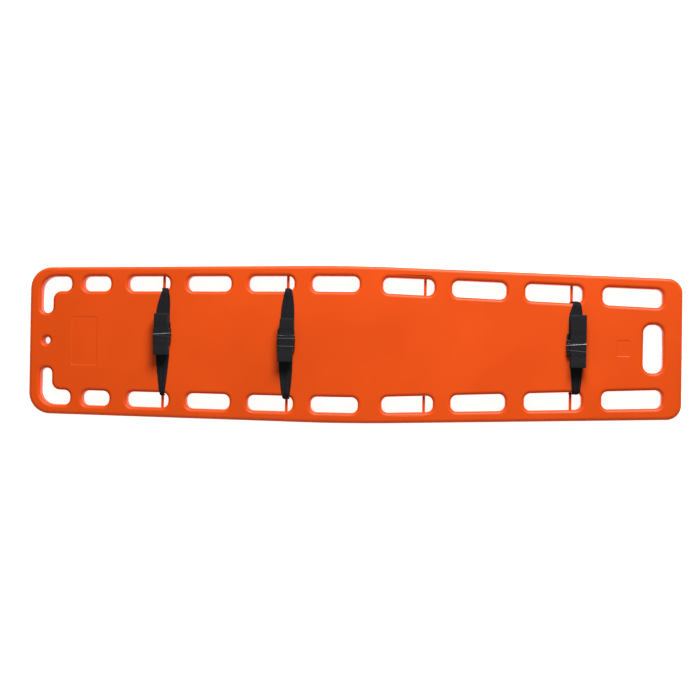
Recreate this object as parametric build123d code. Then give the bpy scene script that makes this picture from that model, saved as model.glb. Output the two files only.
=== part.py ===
from build123d import *
import os
from dataclasses import dataclass
from math import cos, radians, tan

# A spine board in millimetres. X runs from the head end to the foot end, Y across the board,
# and Z up from the surface that its runners stand on. The origin is under the middle.
os.makedirs("parts", exist_ok=True)

# Outline of the one-piece moulding: widest at the waist, with a straight taper to each end
board_length = 1840.0
head_half_width = 207.4
waist_half_width = 223.4
foot_half_width = 196.8
waist_station = -8.0
waist_blend_radius = 4800.0
head_corner_radius = 60.0
foot_corner_radius = 42.0

# Section of the moulding. Its walls are thicker behind the rounded rim and round the openings.
moulding_depth = 44.0
rim_radius = 11.0
underside_bevel = 5.0
skin = 3.2
side_wall = 7.0
opening_wall = 6.0
foam_gap = 0.3

# The two runners that lift the rails off the floor, so that fingers get under them
runner_length = 1600.0
runner_width = 36.0
runner_height = 6.0
runner_spacing = 180.0
runner_draft = 30.0

# The row of hand slots along each side, graded in length on both sides of a wide centre bar
rail_at_head = 26.5
rail_at_foot = 32.5
slot_width_at_head = 41.9
slot_width_at_waist = 44.1
slot_width_at_foot = 51.9
slot_corner_radius = 18.0
opening_edge_bevel = 6.0
centre_bar_station = 49.2
centre_bar_width = 66.5
head_slot_count = 4
head_slot_step = 5.0
head_bar_width = 50.0
head_row_setback = 151.95
short_slot_length = 78.0
foot_slot_count = 4
foot_slot_step = 7.6
foot_bar_width = 50.3
foot_bar_step = 2.7
foot_row_setback = 54.55

# The L-shaped opening inside each corner of the head end
corner_end_rail = 31.6
corner_leg_width = 33.4
corner_leg_length = 103.15
corner_leg_radius = 15.0
corner_slot_reach = 118.0
corner_outer_radius = 40.0
corner_inner_radius = 24.0

# The other openings and the shallow recesses of the deck
end_slot_rail = 53.0
end_slot_width = 55.0
end_slot_length = 135.0
end_slot_radius = 23.0
tether_hole_diameter = 20.0
tether_hole_setback = 48.5
label_recess_setback = 157.0
label_recess_length = 74.0
label_recess_width = 140.0
label_recess_depth = 0.8
plain_recess_setback = 164.0
plain_recess_length = 40.0
plain_recess_width = 47.0

# Pins across the strap slots, for loops and speed clips; square ends keep them from turning
pin_diameter = 8.0
pin_depth = 22.0
pin_end_size = 5.6
pin_end_length = 4.0
pin_end_clearance = 0.1
pin_shoulder_gap = 0.6
head_pin_setback = 18.5
foot_pin_setback = 25.5
foot_pin_setback_step = 2.5

# The plug that closes the foam filling hole, under the foot end
plug_setback = 230.0
plug_diameter = 24.0
plug_clearance = 0.1

# Webbing of the straps, bunched where it goes over the slot's edge to its pin
webbing_width = 40.0
webbing_thickness = 2.4
webbing_lift = 0.8
webbing_bend_radius = 9.0
neck_width = 18.0
neck_thickness = 5.6
neck_gather_length = 26.0
soft_gap = 0.3
loop_wall = 2.6

# Side-release buckle, measured from the middle of the fastened pair
buckle_width = 50.0
buckle_height = 13.0
buckle_lift = 1.0
buckle_bevel = 1.2
buckle_waist_width = 47.0
receiver_mouth = 5.0
receiver_rear = 36.0
receiver_shoulder = 23.0
socket_width = 43.0
socket_height = 7.0
socket_depth = 27.0
window_start = 2.0
window_length = 11.0
plug_in_gap = 0.4
latch_rear = 31.0
latch_shoulder = 10.5
frame_height = 6.0
frame_floor = 2.5
bar_width = 4.6
bar_height = 4.4
bar_slot_length = 41.0
bar_slot_width = 4.4
prong_root = 12.5
prong_width = 5.0
prong_length = 20.0
prong_flare = 1.0
prong_draw_in = 2.5
guide_width = 6.0
guide_length = 24.0
barb_reach = 24.3
barb_land = 4.0
barb_radius = 6.0
buckle_end_radius = 4.0

# Folded tail and the clear film band round it and the buckle
tail_width = 42.0
tail_thickness = 21.0
tail_fold_radius = 7.0
film_thickness = 0.25
film_lift = 0.25


@dataclass
class StrapLayout:
    """Where one strap lies: its slot, and stations and lengths that differ from strap to strap."""

    name: str
    slot: int
    shift: float
    neck_shift: float
    buckle_offset: float
    tail_length: float
    tail_offset: float
    tail_shift: float
    film_length: float
    film_offset: float


straps = [
    StrapLayout("chest", 1, 0.0, 3.0, 25.0, 118.0, 22.0, 0.0, 48.0, 14.5),
    StrapLayout("hip", 3, -1.5, 3.4, 11.0, 123.0, 10.0, 0.5, 48.0, 5.5),
    StrapLayout("leg", 7, 10.5, 1.2, 9.0, 148.0, 17.5, 3.0, 58.0, 0.8),
]
spare_pin_slot = head_slot_count + 1

# Heights that several pieces share
deck_height = runner_height + moulding_depth
pin_height = deck_height - pin_depth
buckle_floor = deck_height + buckle_lift
buckle_top = buckle_floor + buckle_height
half_length = board_length / 2
overcut = 5.0


def between(x, x0, value0, x1, value1):
    """Straight-line value at x through two points."""
    return value0 + (value1 - value0) * (x - x0) / (x1 - x0)


def board_half_width(x):
    """Distance from the centre line to the side of the board."""
    if x < waist_station:
        return between(x, -half_length, head_half_width, waist_station, waist_half_width)
    return between(x, waist_station, waist_half_width, half_length, foot_half_width)


def slot_outer(x):
    """Distance from the centre line to the outer edge of the hand slots."""
    return board_half_width(x) - between(x, -half_length, rail_at_head, half_length, rail_at_foot)


def slot_inner(x):
    """Distance from the centre line to the inner edge of the hand slots."""
    if x < waist_station:
        width = between(x, -half_length, slot_width_at_head, waist_station, slot_width_at_waist)
    else:
        width = between(x, waist_station, slot_width_at_waist, half_length, slot_width_at_foot)
    return slot_outer(x) - width


def head_side_slots():
    """Spans of the slots between the head end and the centre bar, shorter towards the head."""
    end = centre_bar_station - centre_bar_width / 2
    room = end + half_length - head_row_setback - short_slot_length - head_slot_count * head_bar_width
    steps = head_slot_count * (head_slot_count - 1) / 2
    length = (room + steps * head_slot_step) / head_slot_count
    slots = []
    for _ in range(head_slot_count):
        slots.insert(0, (end - length, end))
        end -= length + head_bar_width
        length -= head_slot_step
    return [(end - short_slot_length, end)] + slots


def foot_side_slots():
    """Spans of the slots between the centre bar and the foot end, longer towards the foot."""
    start = centre_bar_station + centre_bar_width / 2
    bars = foot_slot_count - 1
    steps = foot_slot_count * bars / 2
    bar_room = bars * foot_bar_width + bars * (bars - 1) / 2 * foot_bar_step
    room = half_length - foot_row_setback - start - bar_room
    length, bar = (room - steps * foot_slot_step) / foot_slot_count, foot_bar_width
    slots = []
    for _ in range(foot_slot_count):
        slots.append((start, start + length))
        start += length + bar
        length += foot_slot_step
        bar += foot_bar_step
    return slots


def hand_slots():
    """Start and end station of each hand slot on one side, from the head end to the foot end."""
    return head_side_slots() + foot_side_slots()


def pin_station(slot):
    """Station of the pin near the foot side end of a slot."""
    beyond_bar = slot - head_slot_count - 1
    setback = foot_pin_setback + foot_pin_setback_step * beyond_bar
    if beyond_bar < 0:
        setback = head_pin_setback
    return hand_slots()[slot][1] - setback


def rounded_face(points, radii):
    """Flat face from corner points, with one radius for all corners or one for each."""
    return make_face(FilletPolyline(*points, radius=radii, close=True))


def mirrored_pair(shape):
    """The shape of the upper side, with its mirror image on the lower side."""
    return shape + mirror(shape, about=Plane.XZ)


def prism(face, floor, top):
    """Straight upright solid on a face, between two heights."""
    return extrude(Pos(0, 0, floor) * face, amount=top - floor)


def board_face(inset=0.0):
    """Plan of the board, drawn in from its edge by an inset."""
    end = half_length - inset
    head, foot = board_half_width(-end) - inset, board_half_width(end) - inset
    waist = waist_half_width - inset
    points = [(-end, -head), (waist_station, -waist), (end, -foot)]
    points += [(end, foot), (waist_station, waist), (-end, head)]
    turn = [head_corner_radius, waist_blend_radius, foot_corner_radius]
    radii = [radius - inset for radius in turn + turn[::-1]]
    return rounded_face(points, radii)


def hand_slot_face(slot, grow=0.0):
    """Plan of one upper hand slot. A positive grow moves its edges out into the material."""
    start, end = hand_slots()[slot]
    start, end = start - grow, end + grow
    points = [(start, slot_inner(start) - grow), (end, slot_inner(end) - grow)]
    points += [(end, slot_outer(end) + grow), (start, slot_outer(start) + grow)]
    return rounded_face(points, 0.0 if grow else slot_corner_radius)


def corner_slot_face(grow=0.0):
    """Plan of the upper L-shaped opening. A positive grow moves its edges out."""
    start = -half_length + corner_end_rail - grow
    leg = -half_length + corner_end_rail + corner_leg_width + grow
    end = -half_length + corner_slot_reach + grow
    inner, outer = slot_inner(end) - grow, slot_outer(start) + grow
    low = outer - corner_leg_length - 2 * grow
    points = [(start, low), (leg, low), (leg, inner), (end, inner), (end, slot_outer(end) + grow)]
    points += [(start, outer)]
    radii = [corner_leg_radius, corner_leg_radius, corner_inner_radius]
    radii += [slot_corner_radius, slot_corner_radius]
    sharp = [0.0 for _ in radii]
    return rounded_face(points, (sharp if grow else radii) + [corner_outer_radius + grow])


def end_slot_face(grow=0.0):
    """Plan of the slot across the foot end."""
    middle = half_length - end_slot_rail - end_slot_width / 2
    size = end_slot_width + 2 * grow, end_slot_length + 2 * grow
    outline = Rectangle(*size) if grow else RectangleRounded(*size, end_slot_radius)
    return Pos(middle, 0) * outline


def tether_hole_face(grow=0.0):
    """Plan of the hole in the middle of the head end; square where it is grown."""
    size = tether_hole_diameter + 2 * grow
    outline = Rectangle(size, size) if grow else Circle(size / 2)
    return Pos(-half_length + tether_hole_setback, 0) * outline


def openings_face(grow=0.0):
    """Plan of every opening that goes through the board."""
    side = [hand_slot_face(slot, grow) for slot in range(len(hand_slots()))]
    side.append(corner_slot_face(grow))
    across = [end_slot_face(grow), tether_hole_face(grow)]
    return mirrored_pair(Sketch() + side) + across


def core_form(clearance=0.0):
    """The hollow of the moulding, or with a clearance the foam that fills it."""
    face = board_face(side_wall + clearance) - openings_face(opening_wall + clearance)
    return prism(face, runner_height + skin + clearance, deck_height - skin - clearance)


def round_rim(body):
    """Rounds the outer edge of the deck in two flat steps that follow a quarter circle."""
    deck = body.faces().sort_by(Axis.Z)[-1]
    facet = radians(22.5)
    steep = rim_radius * tan(facet)
    body = chamfer(deck.edges(), steep, rim_radius, reference=deck)
    deck = body.faces().sort_by(Axis.Z)[-1]
    slant = rim_radius * (1 - cos(2 * facet)) / cos(facet)
    return chamfer(deck.edges(), rim_radius - steep, slant, reference=deck)


def runner():
    """One runner with sloping sides, standing on the floor."""
    outline = Pos(0, runner_spacing / 2, runner_height) * Rectangle(runner_length, runner_width)
    return extrude(outline, amount=runner_height, dir=(0, 0, -1), taper=runner_draft)


def deck_recesses():
    """The two shallow recesses in the deck, both left plain."""
    faces = Pos(-half_length + label_recess_setback, 0) * Rectangle(label_recess_length, label_recess_width)
    faces += Pos(half_length - plain_recess_setback, 0) * Rectangle(plain_recess_length, plain_recess_width)
    return prism(faces, deck_height - label_recess_depth, deck_height + overcut)


def board_shell():
    """The hollow orange moulding with its openings, runners, recesses and pin seats."""
    shell = prism(board_face(), runner_height, deck_height)
    shell = round_rim(shell)
    shell = chamfer(shell.faces().sort_by(Axis.Z)[0].edges(), underside_bevel)
    shell -= prism(openings_face(), runner_height - overcut, deck_height + overcut)
    deck = shell.faces().sort_by(Axis.Z)[-1]
    shell = chamfer([edge for wire in deck.inner_wires() for edge in wire.edges()], opening_edge_bevel)
    shell += mirrored_pair(runner())
    shell -= deck_recesses()
    shell -= core_form()
    seats = [pin_end_bar(slot, pin_end_clearance) for slot in pin_slots()]
    shell -= mirrored_pair(Part() + seats)
    return shell - filling_plug(plug_clearance)


def filling_plug(clearance=0.0):
    """Plug through the underside; with a clearance, the hole that it sits in."""
    height = skin + 2 * clearance
    plug = Cylinder(plug_diameter / 2 + clearance, height)
    return Pos(half_length - plug_setback, 0, runner_height + skin / 2) * plug


def pin_slots():
    """The slots that have a pin."""
    return [strap.slot for strap in straps] + [spare_pin_slot]


def pin_end_bar(slot, clearance=0.0):
    """Square bar that gives an upper pin its two ends, or with a clearance their seats."""
    x = pin_station(slot)
    start = slot_inner(x) - pin_end_length - clearance
    end = slot_outer(x) + pin_end_length + clearance
    size = pin_end_size + 2 * clearance
    return Pos(x, (start + end) / 2, pin_height) * Box(size, end - start, size)


def strap_pin(slot):
    """The pin across one upper slot: round between the walls, square where it is held."""
    x = pin_station(slot)
    start, end = slot_inner(x) + pin_shoulder_gap, slot_outer(x) - pin_shoulder_gap
    rod = Rot(90, 0, 0) * Cylinder(pin_diameter / 2, end - start)
    return Pos(x, (start + end) / 2, pin_height) * rod + pin_end_bar(slot)


def strap_station(strap):
    """Station of a strap's centre line."""
    return pin_station(strap.slot) + strap.shift


def neck_span(strap):
    """First and last station of the bunched webbing, which takes in the pin."""
    middle = strap_station(strap) + strap.neck_shift
    pin = pin_station(strap.slot)
    loop_half = pin_diameter / 2 + soft_gap + loop_wall
    first = min(middle - neck_width / 2, pin - loop_half)
    return first, max(middle + neck_width / 2, pin + loop_half)


def slot_wall(strap):
    """Farthest point of the slot's inner wall behind the bunched webbing, with its round corner."""
    first, last = neck_span(strap)
    run = max(slot_corner_radius - (hand_slots()[strap.slot][1] - last), 0.0)
    bulge = slot_corner_radius - (slot_corner_radius**2 - run**2) ** 0.5
    return max(slot_inner(first), slot_inner(last) + bulge)


def webbing_plan(strap, start):
    """Plan of one upper half of a strap: full width at the buckle, gathered at the slot."""
    x, tip = strap_station(strap), slot_outer(strap_station(strap))
    first, last = neck_span(strap)
    gather = slot_wall(strap) - webbing_bend_radius
    full = max(start, gather - 2 * neck_gather_length)
    left, right = x - webbing_width / 2, x + webbing_width / 2
    points = [(left, start), (right, start), (right, full), (last, gather), (last, tip)]
    points += [(first, tip), (first, gather), (left, full)]
    return make_face(Polyline(*points, close=True))


def deck_edge_section(strap, grow):
    """Side view of the deck up to the strap's slot, grown by a gap, for webbing to lie on."""
    edge = slot_wall(strap) + grow
    top = deck_height + grow
    points = [(-edge, 0), (edge, 0), (edge, top), (-edge, top)]
    return rounded_face(points, [0, 0, webbing_bend_radius + grow, 0])


def webbing_side(strap, start):
    """Side view of one upper half of a strap: thin on the deck, thicker where it is bunched."""
    bunched = slot_wall(strap) - webbing_bend_radius
    flat_top = deck_height + webbing_lift + webbing_thickness
    top = deck_height + webbing_lift + neck_thickness
    tip = pin_height - pin_diameter / 2 - soft_gap - loop_wall
    points = [(start, tip), (bunched + neck_gather_length, tip), (bunched + neck_gather_length, top)]
    points += [(bunched, top), (bunched - neck_gather_length, flat_top), (start, flat_top)]
    room = make_face(Polyline(*points, close=True))
    web = deck_edge_section(strap, webbing_lift + neck_thickness) - deck_edge_section(strap, webbing_lift)
    return Plane.YZ * (web & room)


def bar_loop(strap, bar_offset):
    """The turn of webbing round a buckle bar."""
    z = buckle_floor + frame_floor + bar_height / 2
    hole = bar_width + 2 * soft_gap, bar_height + 2 * soft_gap
    outer = hole[0] + 2 * webbing_thickness, hole[1] + 2 * webbing_thickness
    ring = Plane.YZ * (Pos(bar_offset, z) * (Rectangle(*outer) - Rectangle(*hole)))
    width = bar_slot_length - 2 * webbing_thickness
    return extrude(Pos(strap_station(strap), 0, 0) * ring, amount=width / 2, both=True)


def webbing_half(strap, bar_offset):
    """One upper half of a strap, from the buckle bar over the deck to the loop on its pin."""
    start = bar_offset + bar_width / 2
    web = Pos(strap_station(strap), 0, 0) * webbing_side(strap, start)
    web = extrude(web, amount=webbing_width, both=True)
    web &= prism(webbing_plan(strap, start), 0, buckle_top)
    web += bar_loop(strap, bar_offset)
    clear = pin_diameter + 2 * soft_gap
    passage = Box(clear, webbing_width, clear)
    return web - Pos(pin_station(strap.slot), slot_wall(strap), pin_height) * passage


def side_view_prism(points):
    """Solid of buckle width or more from a side view with Y and Z measured from the buckle."""
    face = Plane.YZ * make_face(Polyline(*points, close=True))
    return extrude(face, amount=buckle_width, both=True)


def buckle_bar_offset(half):
    """Distance from the pair's middle to the bar that the webbing goes round."""
    if half == "receiver":
        return receiver_rear - bar_width / 2
    return latch_rear - bar_slot_width - bar_width * 3 / 2


def frame_side_view(near, shoulder, far):
    """Side view of a buckle half: full height near the middle, a low frame at the far end."""
    slope = (buckle_height - frame_height) / 2
    points = [(near, 0), (shoulder, 0), (shoulder + slope, frame_floor), (far, frame_floor)]
    points += [(far, frame_floor + frame_height), (shoulder + slope, frame_floor + frame_height)]
    points += [(shoulder, buckle_height), (near, buckle_height)]
    return side_view_prism(points)


def bar_slot(near):
    """Slot through the frame for the webbing, starting at a distance from the middle."""
    plan = Pos(0, near + bar_slot_width / 2) * Rectangle(bar_slot_length, bar_slot_width)
    return prism(plan, -overcut, buckle_height + overcut)


def lowered_bar(near):
    """The space over a bar, which is lower than the frame beside it."""
    plan = Pos(0, near + bar_width / 2) * Rectangle(bar_slot_length, bar_width)
    return prism(plan, frame_floor + bar_height, buckle_height + overcut)


def buckle_plan(near, shoulder, far):
    """Plan of a buckle half: full width, then drawn in towards its webbing end."""
    half, waist = buckle_width / 2, buckle_waist_width / 2
    points = [(-half, near), (half, near), (half, shoulder), (waist, shoulder + bar_slot_width)]
    points += [(waist, far), (-waist, far), (-waist, shoulder + bar_slot_width), (-half, shoulder)]
    end = buckle_end_radius
    return rounded_face(points, [0, 0, 0, 0, end, end, 0, 0])


def prong_face():
    """Plan of one side prong with its barb, pointing away from the latch half."""
    root = receiver_mouth + plug_in_gap
    inner, outer = prong_root, prong_root + prong_width
    tip = receiver_mouth - prong_length
    shoulder = -window_start - plug_in_gap
    points = [(inner, root), (outer, root), (outer + prong_flare, shoulder), (barb_reach, shoulder)]
    points += [(barb_reach, shoulder - barb_land), (outer + prong_draw_in, tip)]
    points += [(inner + prong_draw_in, tip)]
    return rounded_face(points, [0, 0, 0, 0, barb_radius, 0, 0])


def prong_prism(plan):
    """Solid of a latch piece that runs into the socket, on its plan."""
    floor = (buckle_height - socket_height) / 2 + plug_in_gap
    return prism(plan, floor, buckle_height - floor)


def latch_prongs():
    """The two side prongs, which flex inward as the buckle is opened. They grow from the latch."""
    return prong_prism(Sketch() + [prong_face(), mirror(prong_face(), about=Plane.YZ)])


def receiver_body():
    """The half of the buckle with the socket and the two side windows, opening towards +Y."""
    body = prism(buckle_plan(-receiver_mouth, receiver_shoulder, receiver_rear), 0, buckle_height)
    body = chamfer(body.edges().filter_by_position(Axis.Z, buckle_height, buckle_height), buckle_bevel)
    body &= frame_side_view(-receiver_mouth, receiver_shoulder, receiver_rear)
    body -= bar_slot(receiver_rear - bar_width - bar_slot_width)
    body -= lowered_bar(receiver_rear - bar_width)
    socket_floor = (buckle_height - socket_height) / 2
    depth = socket_depth + overcut
    socket = Pos(0, -receiver_mouth - overcut + depth / 2) * Rectangle(socket_width, depth)
    body -= prism(socket, socket_floor, socket_floor + socket_height)
    window = Pos(0, window_start + window_length / 2) * Rectangle(buckle_width + overcut, window_length)
    body -= prism(window, socket_floor, socket_floor + socket_height)
    return mirror(body, about=Plane.XZ)


def latch_body():
    """The half of the buckle with the bars that grip the webbing and the straight middle guide."""
    near = receiver_mouth + plug_in_gap
    body = prism(buckle_plan(near, latch_shoulder, latch_rear), 0, buckle_height)
    body = chamfer(body.edges().filter_by_position(Axis.Z, buckle_height, buckle_height), buckle_bevel)
    body &= frame_side_view(near, latch_shoulder, latch_rear)
    end_slot = latch_rear - bar_width - bar_slot_width
    first_slot = end_slot - bar_width - bar_slot_width
    for slot in (first_slot, end_slot):
        body -= bar_slot(slot)
    guide = Pos(0, near - guide_length / 2) * Rectangle(guide_width, guide_length)
    return body - lowered_bar(end_slot - bar_width) + prong_prism(guide)


def placed_buckle(strap, body):
    """A buckle half at its strap's place on the deck."""
    return Pos(strap_station(strap), strap.buckle_offset, buckle_floor) * body


def folded_tail(strap):
    """The surplus webbing, folded to a flat stack on top of the buckle."""
    floor = buckle_top + soft_gap
    middle = floor + tail_thickness / 2
    side = RectangleRounded(strap.tail_length, tail_thickness, tail_fold_radius)
    side = Plane.YZ * (Pos(strap.tail_offset, middle) * side)
    station = strap_station(strap) + strap.tail_shift
    return extrude(Pos(station, 0, 0) * side, amount=tail_width / 2, both=True)


def film_band(strap):
    """The clear band of film round the folded tail, the buckle and the webbing under them."""
    room = soft_gap + film_thickness
    floor = deck_height + film_lift
    top = buckle_top + soft_gap + tail_thickness + room
    wide = buckle_width / 2 + room
    narrow = tail_width / 2 + room
    points = [(-wide, floor), (wide, floor), (wide, buckle_top)]
    points += [(strap.tail_shift + narrow, top), (strap.tail_shift - narrow, top), (-wide, buckle_top)]
    outer = make_face(Polyline(*points, close=True))
    ring = outer - offset(outer, amount=-film_thickness)
    band = extrude(Plane.XZ * ring, amount=strap.film_length / 2, both=True)
    return Pos(strap_station(strap), strap.film_offset, 0) * band


def save(node, shape):
    """Write one sub-part to its own file."""
    solids = shape.solids()
    export_step(solids[0] if len(solids) == 1 else Compound(children=solids), f"parts/{node}.step")
    print(node, len(solids), round(shape.volume))


def save_pins():
    """Write the eight pins."""
    names = [strap.name for strap in straps] + ["spare"]
    for name, slot in zip(names, pin_slots()):
        save(f"pin_{name}_upper", strap_pin(slot))
        save(f"pin_{name}_lower", mirror(strap_pin(slot), about=Plane.XZ))


def save_strap(strap):
    """Write the pieces of one strap. Its latch half is on the upper side."""
    latch_bar = strap.buckle_offset + buckle_bar_offset("latch")
    receiver_bar = buckle_bar_offset("receiver") - strap.buckle_offset
    save(f"webbing_{strap.name}_upper", webbing_half(strap, latch_bar))
    save(f"webbing_{strap.name}_lower", mirror(webbing_half(strap, receiver_bar), about=Plane.XZ))
    save(f"buckle_latch_{strap.name}", placed_buckle(strap, latch_body()))
    save(f"buckle_prongs_{strap.name}", placed_buckle(strap, latch_prongs()))
    save(f"buckle_receiver_{strap.name}", placed_buckle(strap, receiver_body()))
    save(f"folded_tail_{strap.name}", folded_tail(strap))
    save(f"film_band_{strap.name}", film_band(strap))


save("board_shell", board_shell())
save("foam_core", core_form(foam_gap))
save("filling_plug", filling_plug())
save_pins()
for strap in straps:
    save_strap(strap)
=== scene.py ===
import math
import random
import bmesh
import bpy
from bpy.props import FloatProperty, FloatVectorProperty, IntProperty, PointerProperty
from mathutils import Matrix, Vector


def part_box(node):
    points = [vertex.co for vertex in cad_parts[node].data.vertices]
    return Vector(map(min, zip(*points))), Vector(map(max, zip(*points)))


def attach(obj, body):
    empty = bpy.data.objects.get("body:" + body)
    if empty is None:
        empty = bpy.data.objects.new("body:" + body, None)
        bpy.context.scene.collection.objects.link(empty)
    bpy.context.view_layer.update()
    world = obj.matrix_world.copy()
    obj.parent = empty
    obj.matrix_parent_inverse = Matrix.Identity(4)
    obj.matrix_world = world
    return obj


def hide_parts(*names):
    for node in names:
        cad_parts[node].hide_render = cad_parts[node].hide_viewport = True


bl_info = {
    "name": "Spine board",
    "version": (1, 0, 0),
    "blender": (4, 5, 0),
    "location": "3D View > Sidebar > Spine board",
    "description": "Dresses the frame of a moulded spine board with its finished surfaces and straps",
    "category": "Object",
}

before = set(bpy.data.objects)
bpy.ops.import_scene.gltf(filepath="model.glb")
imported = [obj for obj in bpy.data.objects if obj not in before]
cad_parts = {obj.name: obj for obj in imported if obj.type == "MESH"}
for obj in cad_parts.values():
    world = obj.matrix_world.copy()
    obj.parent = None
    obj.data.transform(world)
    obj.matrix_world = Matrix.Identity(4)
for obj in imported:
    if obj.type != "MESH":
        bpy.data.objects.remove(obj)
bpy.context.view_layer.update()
board_low, board_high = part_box("board_shell")
half_length = board_high.x
deck_height = board_high.z
strap_names = ("chest", "hip", "leg")


def linear(hex_colour):
    """Linear RGB of an sRGB hex colour."""
    channels = [int(hex_colour[i:i + 2], 16) / 255 for i in (0, 2, 4)]
    return [c / 12.92 if c <= 0.04045 else ((c + 0.055) / 1.055) ** 2.4 for c in channels]


def size_property(name, description, default):
    """A length in metres that a user can change."""
    return FloatProperty(name=name, description=description, default=default, unit="LENGTH", precision=4)


def colour_property(name, description, hex_colour):
    """A colour that a user can change."""
    return FloatVectorProperty(name=name, description=description, default=linear(hex_colour),
                               subtype="COLOR", min=0.0, max=1.0)


class MouldingSizes(bpy.types.PropertyGroup):
    """Sizes of the hollow orange board."""

    head_half_width: size_property("Head half width", "Half the width at the head end", 0.2074)
    waist_half_width: size_property("Waist half width", "Half the width at the widest station", 0.2234)
    foot_half_width: size_property("Foot half width", "Half the width at the foot end", 0.1968)
    waist_station: size_property("Waist station", "Where the board is widest", -0.008)
    waist_blend: size_property("Waist blend", "Radius of the side at the waist", 4.8)
    head_corner: size_property("Head corners", "Radius of the two corners at the head", 0.060)
    foot_corner: size_property("Foot corners", "Radius of the two corners at the foot", 0.042)
    underside: size_property("Underside", "Height of the underside above the floor", 0.006)
    deck_rounding: size_property("Deck rounding", "Radius of the rim and of the openings at the deck", 0.010)
    underside_rounding: size_property("Underside rounding", "Radius of the edges below", 0.0045)
    rail_at_head: size_property("Rail at head", "From the side to the hand slots at the head end", 0.0265)
    rail_at_foot: size_property("Rail at foot", "From the side to the hand slots at the foot end", 0.0325)
    slot_at_head: size_property("Slot at head", "Width of the hand slots at the head end", 0.0419)
    slot_at_waist: size_property("Slot at waist", "Width of the hand slots at the waist", 0.0441)
    slot_at_foot: size_property("Slot at foot", "Width of the hand slots at the foot end", 0.0519)
    slot_corner: size_property("Slot corners", "Radius of the corners of the hand slots", 0.018)
    recess_depth: size_property("Recess depth", "Depth of the two plain recesses in the deck", 0.0009)
    edge_steps: IntProperty(name="Edge steps", description="Facets in each rounded edge", default=7, min=2)


class StrapSizes(bpy.types.PropertyGroup):
    """Sizes of the three straps and what is on them."""

    webbing_thickness: size_property("Webbing thickness", "Thickness of the woven polyester", 0.0016)
    tail_pitch: size_property("Tail pitch", "Height of one layer of the folded tail", 0.0026)
    moulded_edge: size_property("Moulded edge", "Radius of the edges of the buckles", 0.0006)


class FinishColours(bpy.types.PropertyGroup):
    """Colours of the finishes."""

    board: colour_property("Board", "Orange polyethylene of the board and its pins", "DC4A02")
    webbing: colour_property("Webbing", "Black polyester webbing", "0B0B13")
    buckle: colour_property("Buckle", "Black acetal of the buckles", "111114")
    film: colour_property("Film", "Clear film round the folded tails", "C9CED8")
    foam: colour_property("Foam", "Rigid foam inside the board", "D9C27A")
    floor: colour_property("Floor", "Pale studio floor", "F4F4F4")


def between(x, x0, value0, x1, value1):
    """Straight-line value at x through two points."""
    return value0 + (value1 - value0) * (x - x0) / (x1 - x0)


def ease(t):
    """Smooth step from 0 to 1."""
    t = min(max(t, 0.0), 1.0)
    return t * t * (3 - 2 * t)


def add_node(tree, kind, attributes=(), inputs=()):
    """Adds one shader node, sets its attributes, and sets or links its inputs."""
    node = tree.nodes.new(kind)
    for key, value in dict(attributes).items():
        setattr(node, key, value)
    for key, value in dict(inputs).items():
        if isinstance(value, bpy.types.NodeSocket):
            tree.links.new(value, node.inputs[key])
        else:
            node.inputs[key].default_value = value
    return node


def new_finish(name, sockets):
    """A material with one Principled shader; gives the material, its tree and that shader."""
    material = bpy.data.materials.new(name)
    material.use_nodes = True
    tree = material.node_tree
    shader = tree.nodes["Principled BSDF"]
    for key, value in sockets.items():
        shader.inputs[key].default_value = value
    return material, tree, shader


def rgba(colour, factor=1.0):
    """A linear colour with full alpha, made lighter or darker by a factor."""
    return [*(min(channel * factor, 1.0) for channel in colour), 1.0]


def moulded_polyethylene(colour):
    """Rotationally moulded polyethylene: an even satin skin with a faint orange peel and slow waves."""
    mottle_size, wave_size, peel_size = 0.200, 0.1429, 0.002381
    material, tree, shader = new_finish("rotomoulded_polyethylene", {
        "IOR": 1.51, "Specular IOR Level": 0.25})
    place = add_node(tree, "ShaderNodeTexCoord")
    mottle = add_node(tree, "ShaderNodeTexNoise", {}, {
        "Vector": place.outputs["Object"], "Scale": 1 / mottle_size, "Detail": 3.0, "Roughness": 0.5})
    shade = add_node(tree, "ShaderNodeValToRGB", {}, {"Fac": mottle.outputs["Fac"]})
    shade.color_ramp.elements[0].position = 0.3
    shade.color_ramp.elements[0].color = rgba(colour, 0.93)
    shade.color_ramp.elements[1].position = 0.7
    shade.color_ramp.elements[1].color = rgba(colour, 1.04)
    tree.links.new(shade.outputs["Color"], shader.inputs["Base Color"])
    peel = add_node(tree, "ShaderNodeTexNoise", {}, {
        "Vector": place.outputs["Object"], "Scale": 1 / peel_size, "Detail": 2.0, "Roughness": 0.6})
    waves = add_node(tree, "ShaderNodeTexNoise", {}, {
        "Vector": place.outputs["Object"], "Scale": 1 / wave_size, "Detail": 1.0})
    slow = add_node(tree, "ShaderNodeBump", {}, {
        "Height": waves.outputs["Fac"], "Strength": 0.25, "Distance": 0.002})
    fine = add_node(tree, "ShaderNodeBump", {}, {
        "Height": peel.outputs["Fac"], "Strength": 0.18, "Distance": 0.0004,
        "Normal": slow.outputs["Normal"]})
    tree.links.new(fine.outputs["Normal"], shader.inputs["Normal"])
    gloss = add_node(tree, "ShaderNodeMapRange", {}, {
        "Value": mottle.outputs["Fac"], "To Min": 0.38, "To Max": 0.47})
    tree.links.new(gloss.outputs["Result"], shader.inputs["Roughness"])
    return material


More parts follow.
